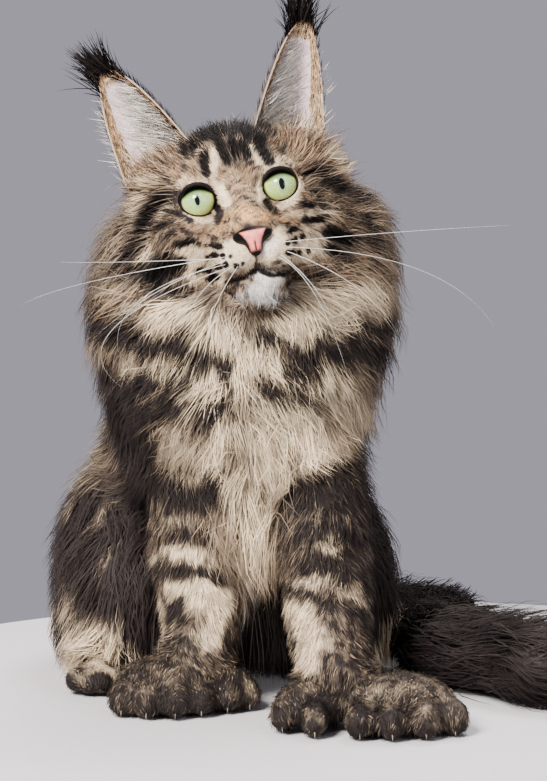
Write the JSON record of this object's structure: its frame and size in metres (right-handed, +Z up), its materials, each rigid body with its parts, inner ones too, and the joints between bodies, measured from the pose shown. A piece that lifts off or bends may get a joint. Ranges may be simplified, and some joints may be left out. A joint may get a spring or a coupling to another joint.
{
  "type": "maine coon cat",
  "caption": "Life-size sitting long-haired cat with tufted ears, a full ruff, broad many-toed front paws and a bushy tail laid round its side.",
  "frame": {"origin": "on the floor, under the middle of the cat's bounding box", "axes": "+Z up, -Y the way the cat faces, +X the cat's left"},
  "size_m": [0.4412, 0.3966, 0.4418],
  "materials": {
    "face_coat": "short ticked tabby fur",
    "ruff_coat": "long soft tabby ruff",
    "body_coat": "long dark brown tabby fur",
    "leg_coat": "barred tabby fur",
    "tail_coat": "very long black-brown fur",
    "ear": "thin pink skin with sparse pale hair",
    "nose_leather": "moist pebbled skin with a dark edge",
    "eye": "wet, clear over a pale green iris"
  },
  "bodies": {
    "root": {"eye_right": "eye", "eye_left": "eye", "nose": "nose_leather", "head": "face_coat", "lower_jaw": "face_coat", "ear_right": "ear", "ear_left": "ear", "neck": "ruff_coat", "chest": "ruff_coat", "hindquarters": "body_coat", "front_paw_right": "leg_coat", "foreleg_right": "leg_coat", "front_paw_left": "leg_coat", "foreleg_left": "leg_coat", "hind_foot_right": "body_coat", "thigh_right": "body_coat", "hind_foot_left": "body_coat", "thigh_left": "body_coat", "tail_root": "tail_coat", "tail_middle": "tail_coat", "tail_end": "tail_coat", "tail_tip": "tail_coat"}
  },
  "joints": []
}
